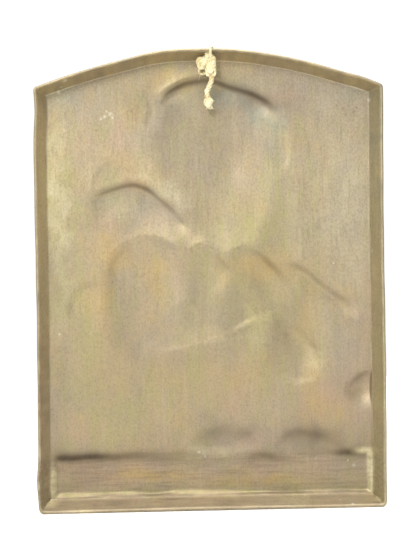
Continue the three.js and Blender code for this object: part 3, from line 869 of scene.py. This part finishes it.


# The brown patina is uneven, and some of its patches are painted light. Each patch has a middle, a half
# width, a half height and a strength: gold where the patina is thin and warm, green where it is thin and
# cool, grey where it is dull and rose where it is reddish. The pale patches are painted highlights on lit
# edges and painted reflections on the field, the dark ones are partly thick patina and partly painted
# shade under the hood's arc, the folds and the hem's bumps and along the rims' roots, and the slate ones
# are painted blue-grey shade below the arcs and the top rim.
patches = {
    "gold": [
        (-33, -133, 20, 8, 0.9), (58, -124, 14, 8, 0.5), (66, -145, 5, 24, 0.6), (34, -142, 8, 22, 0.6),
        (-62, -160, 7, 16, 0.6), (-83, -152, 5, 12, 0.6), (-62, -212, 7, 16, 0.6), (-76, -226, 9, 8, 0.6),
        (45, -38, 9, 8, 0.5), (12, -19, 22, 6, 0.6), (52, -66, 9, 8, 0.6), (34, -78, 11, 9, 0.5),
        (40, -261, 26, 4, 1.0), (-30, -264, 34, 4, 0.7), (84, -254, 8, 5, 0.4), (20, -226, 16, 14, 0.3),
        (76, -150, 9, 14, 0.4), (28, -196, 20, 12, 0.3), (-20, -196, 22, 12, 0.3), (60, -196, 14, 24, 0.2),
        (96, -60, 6, 40, 0.3),
    ],
    "green": [
        (94, -80, 6, 60, 0.8), (79, -165, 9, 40, 0.8), (-20, -150, 34, 26, 0.6), (-30, -105, 30, 14, 0.5),
        (60, -90, 20, 12, 0.3), (70, -210, 12, 24, 0.4), (10, -205, 40, 16, 0.4), (8, -242, 8, 8, 0.9),
        (-60, -180, 16, 20, 0.4), (-28, -268, 60, 3, 0.4), (60, -232, 20, 10, 0.4), (-8, -20, 20, 6, 0.4),
    ],
    "grey": [
        (-60, -24, 44, 16, 0.7), (-86, -90, 16, 76, 0.8), (88, -30, 22, 14, 0.7), (10, -62, 40, 34, 0.5),
        (44, -52, 12, 12, 0.5), (16, -160, 30, 20, 0.5), (82, -130, 12, 12, 0.5), (86, -256, 20, 8, 0.7),
        (-14, -236, 30, 8, 0.7), (0, -256, 24, 5, 0.5), (-84, -258, 18, 8, 0.6), (-88, -190, 14, 20, 0.6),
        (-40, -232, 20, 8, 0.4), (40, -98, 22, 8, 0.5),
    ],
    "highlight_and_wear": [
        (93, -100, 5, 70, 0.5), (16, -98, 5, 6, 0.4), (22, -91, 5, 6, 0.45), (28, -84, 5, 6, 0.45),
        (35, -77, 5, 6, 0.3), (-30, -20, 18, 5, 0.2), (1, -247, 10, 5, 0.5), (-93, -216, 7, 4, 0.3),
        (-84, -90, 20, 64, 0.36), (60, -60, 40, 30, 0.12), (-58, -204, 6, 2.5, 0.3),
        (-10, -175, 24, 2.5, 0.2),
    ],
    "dirt_and_shade": [
        (-38, -33, 14, 8, 0.24), (94, -190, 5, 50, 0.12), (-12, -234, 24, 7, 0.15), (-64, -237, 26, 8, 0.15),
        (84, -250, 18, 6, 0.22), (27, -42, 6, 12, 0.10), (-10, -50, 28, 26, 0.08), (-48, -160, 14, 18, 0.10),
        (70, -66, 10, 5, 0.12), (-84, -246, 18, 4, 0.28), (82, -262, 14, 6, 0.12), (-86, -120, 4, 30, 0.04),
    ],
    "rose": [
        (52, -54, 7, 16, 0.8), (42, -80, 12, 8, 0.7), (30, -98, 10, 8, 0.4), (62, -108, 10, 10, 0.4),
        (-70, -215, 16, 16, 0.9), (-88, -222, 8, 16, 0.5), (-12, -212, 14, 20, 0.4), (-40, -30, 20, 8, 0.4),
        (60, -258, 40, 8, 0.8), (-40, -256, 40, 6, 0.6), (84, -232, 14, 8, 0.6), (-96, -170, 8, 40, 0.4),
        (-20, -240, 50, 6, 0.5), (74, -60, 10, 10, 0.3), (20, -140, 8, 14, 0.3), (-90, -40, 12, 20, 0.3),
    ],
    "slate_tint_and_shade": [
        (2, -25, 18, 7, 0.7), (-18, -31, 13, 8, 0.8), (-32, -38, 10, 9, 0.9), (-43, -46, 6, 10, 0.7),
        (-47, -64, 5, 10, 0.2), (30, -32, 12, 6, 0.4), (64, -90, 14, 5, 0.4), (86, -28, 16, 8, 0.5),
        (40, -90, 16, 6, 0.5), (-92, -26, 12, 6, 0.4), (0, -236, 18, 7, 0.4), (-50, -242, 20, 6, 0.4),
    ],
}


def patchwork(name):
    """One kind of patch on the raster, with its outlines strayed and its inside uneven."""
    x, z = (grid + 5 * soft_noise(6.0) + 3 * soft_noise(2.0) for grid in (grid_x, grid_z))
    total = sum(strong * spot(x, z, a, b, wide, high) for a, b, wide, high, strong in patches[name])
    return total * (1 + 0.5 * soft_noise(3.0))


painted = {name: patchwork(name) for name in patches}
# The painted crease shade is added to the dark layer.
painted["dirt_and_shade"] += painted_crease_shade
# Painted shade: the field is darker towards the bottom and again on the band, where less light falls from
# above.
painted["dirt_and_shade"] += 0.19 * smooth_step(-70, -200, grid_z) + 0.12 * smooth_step(-222, -258, grid_z)


# Small marks: crusts of pale deposit, and pits that have turned brown. Each has a place and a radius.
pale_crusts = [
    (87, -18.2, 2), (91, -24.5, 1.1), (89.5, -21.5, 1), (-99.5, -31, 1.5), (-100.5, -123.6, 1.4),
    (-101, -126, 0.9), (-76, -130.6, 1), (-87.5, -256, 1.3), (-84, -253, 0.9), (-85.3, -278.5, 1.5),
    (-78, -276.5, 1), (92.5, -172, 1), (60, -38, 1.3), (63, -39.5, 1.4), (65.5, -41, 1.2), (58.5, -40.5, 1),
    (62, -36.5, 0.9), (8, -246, 1.2), (4.5, -248.5, 1), (103.5, -96, 0.8),
]
brown_pits = [
    (68.5, -48, 1.1), (-79.5, -34, 1), (-83, -36, 1.2), (-87, -34.5, 0.9), (-90, -38, 1.1),
    (-85, -39.5, 0.9), (-92, -35.5, 0.8),
]
crust_colour = (0.80, 0.78, 0.66, 1)
pit_colour = (0.22, 0.15, 0.09, 1)


def brass_material():
    material, place = new_material("patinated_brass")
    gold, green, grey, highlight_and_wear, dirt_and_shade, rose, slate_tint_and_shade = (
        place.add("Attribute", {"attribute_name": name}, output=2) for name in patches
    )
    low = place.add("SeparateXYZ", None, {0: place}, 2).band(-244, -250)
    brushing = place.noise(place, (1.3, 0.5, 0.07), 5.0, 0.7)
    broad_brushing = place.noise(place, (0.30, 0.1, 0.02), 4.0, 0.6, 7.0)
    cross_brushing = place.noise(place, (0.05, 0.3, 0.5), 5.0, 0.65, 3.0)
    clouds = place.noise(place, (0.05, 0.05, 0.035), 6.0, 0.68, 2.0)
    olive_streaks = place.noise(place, (0.16, 0.1, 0.035), 6.0, 0.7, 31.0)
    warmth = place.noise(place, (0.08, 0.08, 0.06), 6.0, 0.68, 14.0)
    grain = place.noise(place, (0.9, 0.9, 0.7), 3.0, 0.75, 5.0)
    speckle = place.noise(place, (1.7, 1.7, 1.7), 2.0, 0.6, 21.0)
    tan_brass = (0.475, 0.375, 0.23, 1)
    mauve_brass = (0.435, 0.36, 0.245, 1)
    olive_brass = (0.43, 0.385, 0.20, 1)
    gold_brass = (0.55, 0.395, 0.17, 1)
    green_brass = (0.45, 0.405, 0.18, 1)
    grey_brass = (0.425, 0.36, 0.28, 1)
    rose_brass = (0.52, 0.36, 0.26, 1)
    slate_brass = (0.32, 0.325, 0.255, 1)
    pale_brass = (0.68, 0.61, 0.40, 1)
    brown = (0.10, 0.075, 0.05, 1)
    colour = clouds.band(0.40, 0.62).blend(tan_brass, mauve_brass)
    colour = olive_streaks.band(0.48, 0.62, 0.0, 0.85).blend(colour, olive_brass)
    colour = (grey * (clouds * 1.2 + 0.2)).blend(colour, grey_brass)
    colour = (green * (olive_streaks * 1.3 + 0.1)).blend(colour, green_brass)
    colour = (rose * (broad_brushing * 1.2 + 0.1)).blend(colour, rose_brass)
    # Painted shade: the slate layer blends in a blue-grey shade below the arcs and on the top rim, and a
    # blue-grey tint elsewhere.
    colour = (slate_tint_and_shade * (clouds * 1.3 + 0.1)).blend(colour, slate_brass)
    colour = (gold * (warmth * 1.6 + 0.05)).blend(colour, gold_brass)
    colour = warmth.band(0.54, 0.72, 0.0, 0.34).blend(colour, gold_brass)
    # Painted highlights, and on the front rubbed high places: the pale layer blends towards pale brass.
    colour = (highlight_and_wear * (broad_brushing * 0.9 + 0.55)).blend(colour, pale_brass)
    colour = broad_brushing.band(0.5, 0.75, 0.0, 0.14).blend(colour, pale_brass)
    colour = (brushing.band(0.62, 0.25, 0.0, 0.16) * (1 - low)).blend(colour, brown)
    colour = (cross_brushing.band(0.62, 0.28, 0.0, 0.30) * low).blend(colour, brown)
    colour = grain.band(0.62, 0.25, 0.0, 0.34).blend(colour, brown)
    colour = speckle.band(0.58, 0.72, 0.0, 0.24).blend(colour, pale_brass)
    for spots, spot_colour in ((pale_crusts, crust_colour), (brown_pits, pit_colour)):
        for x, z, radius in spots:
            middle = (x, float(sheet_y(x, z)) + 0.6 * sheet_thickness + 0.3 * radius, z)
            away = place.add("VectorMath", {"operation": "DISTANCE"}, {0: place, 1: middle}, 1)
            near = (away + speckle * 3 * radius).band(1.7 * radius, 2.6 * radius, 0.6, 0.0)
            colour = near.blend(colour, spot_colour)
    # Partly dark patina and partly painted shade: the dark layer blends towards brown.
    patina_and_shade = dirt_and_shade * (clouds * 0.7 + grain * 0.6 + 0.35)
    colour = patina_and_shade.blend(colour, brown)
    rough = brushing.band(0.3, 0.7, 0.42, 0.52) + dirt_and_shade * 0.2
    height = brushing * 0.3 + grain * 0.7
    bump = place.add("Bump", None, {"Height": height, "Strength": 0.3, "Distance": 0.0003})
    finish_material(place, place.add("BsdfPrincipled", None, {
        "Base Color": colour,
        "Metallic": 0.85,
        "Roughness": rough,
        "Normal": bump,
    }))
    return material


def surface_marks(x, z, share):
    """How strongly each kind of patch shows at each place on the sheet."""
    side, top, foot = half_width - np.abs(x), -crown_drop(x) - z, z - bottom_z
    on_rim = 1 - smooth_step(0.9, 1.05, share)
    left = on_rim * (x > 0) * (side / rim_run["side"] <= share + 1e-6)
    right = on_rim * (x < 0) * (side / rim_run["side"] <= share + 1e-6)
    crown = on_rim * (top / rim_run["top"] <= share + 1e-6)
    base = on_rim * (foot / rim_run["bottom"] <= share + 1e-6)
    edge = 1 - smooth_step(0.02, 0.10, share)
    root = np.exp(-(((share - 1.10) / 0.09) ** 2))
    uneven = 1 + 1.3 * sampled(mottling, x, z)
    wavy_foot = foot + 0.5 * np.sin(x / 17 + 2) + 0.3 * np.sin(x / 6)
    under_line = smooth_step(4.2, 5.0, foot) * (1 - smooth_step(7.4, 8.2, wavy_foot)) * (side > 5)
    marks = {name: (1 - on_rim) * sampled(painted[name], x, z) for name in painted}
    marks["gold"] += 0.35 * left * smooth_step(-150, -60, z) + 0.2 * left + 0.3 * crown
    # Painted highlight: the side rims are made paler, the left one most.
    marks["highlight_and_wear"] += 0.5 * left + 0.32 * right
    marks["grey"] += 0.7 * base + 0.3 * left * smooth_step(-120, -200, z) + 0.5 * crown + 0.3 * right
    marks["rose"] += uneven * (0.8 * left + 0.1 * right + 0.2 * base)
    # Painted shade: the top rim, which faces down, gets a blue-grey shade, and the right rim's upper part a
    # blue-grey tint.
    marks["slate_tint_and_shade"] += uneven * (0.3 * crown + 0.6 * right * smooth_step(-130, -60, z))
    marks["green"] += 0.5 * right + 0.3 * base + 0.3 * crown
    # Painted shade: the left rim darkens towards its foot, the top rim, which faces down, is darkened, and a
    # dark line runs along the rims' roots; the right rim and the outer edges get dirt.
    marks["dirt_and_shade"] += uneven * left * (0.03 + 0.16 * smooth_step(-120, -190, z))
    marks["dirt_and_shade"] += uneven * (0.07 * right + 0.17 * crown + 0.22 * edge * (1 - base))
    marks["dirt_and_shade"] += uneven * 0.12 * root * (1 - smooth_step(-262, -266, z))
    base_dirt = 0.34 * base * (1 - smooth_step(0.7, 0.8, share))
    marks["dirt_and_shade"] += (0.6 + 0.4 * uneven) * (base_dirt + 0.3 * under_line)
    # Painted highlights: the band's lit side walls, a shelf at its right end and the bottom rim's mitres are
    # made pale and green, and dirt is kept off them.
    low = smooth_step(-274, -271, z)
    ledge_left = between(x, 95.2, 96.2, 98.2, 99.2) * (1 - smooth_step(-256, -253, z))
    ledge_right = between(-x, 96, 97.5, 100.5, 101.5) * (1 - smooth_step(-250, -247, z))
    shelf_right = spot(x, z, -94, -247, 7, 2)
    line = between(wavy_foot, 7.8, 8.6, 10.0, 10.8) * (side > 6)
    mitre_highlight = base * (1 - smooth_step(6, 13, side + 4 * (x < 0))) * smooth_step(0.25, 0.4, share)
    ledge_highlights = (0.8 * ledge_left + 1.2 * ledge_right) * low + 1.6 * shelf_right
    marks["highlight_and_wear"] += uneven * (0.5 * ledge_highlights + 0.4 * mitre_highlight)
    marks["green"] += uneven * (0.8 * ledge_highlights + 0.7 * line + 0.8 * mitre_highlight)
    marks["dirt_and_shade"] += 0.10 * uneven * line
    marks["dirt_and_shade"] *= 1 - np.clip(0.7 * ledge_highlights + 0.7 * mitre_highlight, 0, 1)
    return {name: np.clip(amount, 0, 1) for name, amount in marks.items()}


def plainer_marks(x, z):
    """The same for the front, where dirt lies in the recesses and the high places are rubbed."""
    marks = {name: 0.5 * sampled(painted[name], x, bottom_z - z) for name in patches}
    field = smooth_step(1.0, 1.3, rim_share(x, z))
    low = field * sampled(recess, x, z)
    marks["dirt_and_shade"] = 0.08 + 0.10 * sampled(mottling, x, z) + 0.55 * low
    marks["highlight_and_wear"] = 0.10 - 0.5 * low
    return {name: np.clip(amount, 0, 1) for name, amount in marks.items()}


mottling = 0.5 * soft_noise(1.5) + 0.4 * soft_noise(5.0)
sheet = mesh_object("plaque", sheet_points, sheet_faces.tolist(), brass_material())
back_marks = surface_marks(flat_x, flat_z, rim_share(flat_x, flat_z))
front_marks = plainer_marks(flat_x, flat_z)
for name in patches:
    layer = sheet.data.attributes.new(name, "FLOAT", "POINT")
    strength = np.hstack([front_marks[name], back_marks[name]])[used]
    layer.data.foreach_set("value", strength.astype(np.float32))
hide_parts("plaque_sheet")

# The room: a plain pale floor under the plaque's lower edge, and broad soft lights above and in front.
floor_mesh = bpy.data.meshes.new("floor")
floor_reach = 1.1
floor_gap = 0.0004
corner_ways = ((-1, -1), (1, -1), (1, 1), (-1, 1))
floor_corners = [(x * floor_reach, y * floor_reach, sheet_low[2] - floor_gap) for x, y in corner_ways]
floor_mesh.from_pydata(floor_corners, [], [(0, 1, 2, 3)])
floor_material, floor_place = new_material("floor")
finish_material(floor_place, floor_place.add("BsdfPrincipled", None, {
    "Base Color": (0.9, 0.9, 0.9, 1),
    "Roughness": 0.9,
}))
floor_mesh.materials.append(floor_material)
floor = bpy.data.objects.new("floor", floor_mesh)
bpy.context.scene.collection.objects.link(floor)


def soft_light(name, place, size, power):
    """A square area light that faces the middle of the plaque."""
    light = bpy.data.lights.new(name, "AREA")
    light.size = size
    light.energy = power
    lamp = bpy.data.objects.new(name, light)
    lamp.location = place
    lamp.rotation_euler = (Vector(place) - plaque_middle).to_track_quat("Z", "Y").to_euler()
    bpy.context.scene.collection.objects.link(lamp)


soft_light("key", (0.55, 1.1, 0.75), 0.5, 16)
soft_light("top", (-0.1, 0.35, 1.0), 0.6, 10)
soft_light("front", (-0.6, -1.0, 0.7), 0.9, 10)

# The room's own light: bright overhead and dimmer towards the floor, and plain white to look at.
world = bpy.data.worlds.new("world")
world.use_nodes = True
world.node_tree.nodes.clear()
room = Shade(world.node_tree)
direction = room.add("TexCoord", output=0)
upward = room.add("SeparateXYZ", None, {0: direction}, 2)
brightness = upward.band(-0.5, 0.9, 0.30, 0.85)
glow = room.add("Background", None, {"Color": (1.0, 0.99, 0.97, 1), "Strength": brightness})
white = room.add("Background", None, {"Color": (1, 1, 1, 1), "Strength": 1.05})
seen_directly = room.add("LightPath", output=0)
mixed = room.add("MixShader", None, {0: seen_directly, 1: glow, 2: white})
room.add("OutputWorld", None, {"Surface": mixed})
bpy.context.scene.world = world
bpy.context.scene.view_settings.view_transform = "Standard"
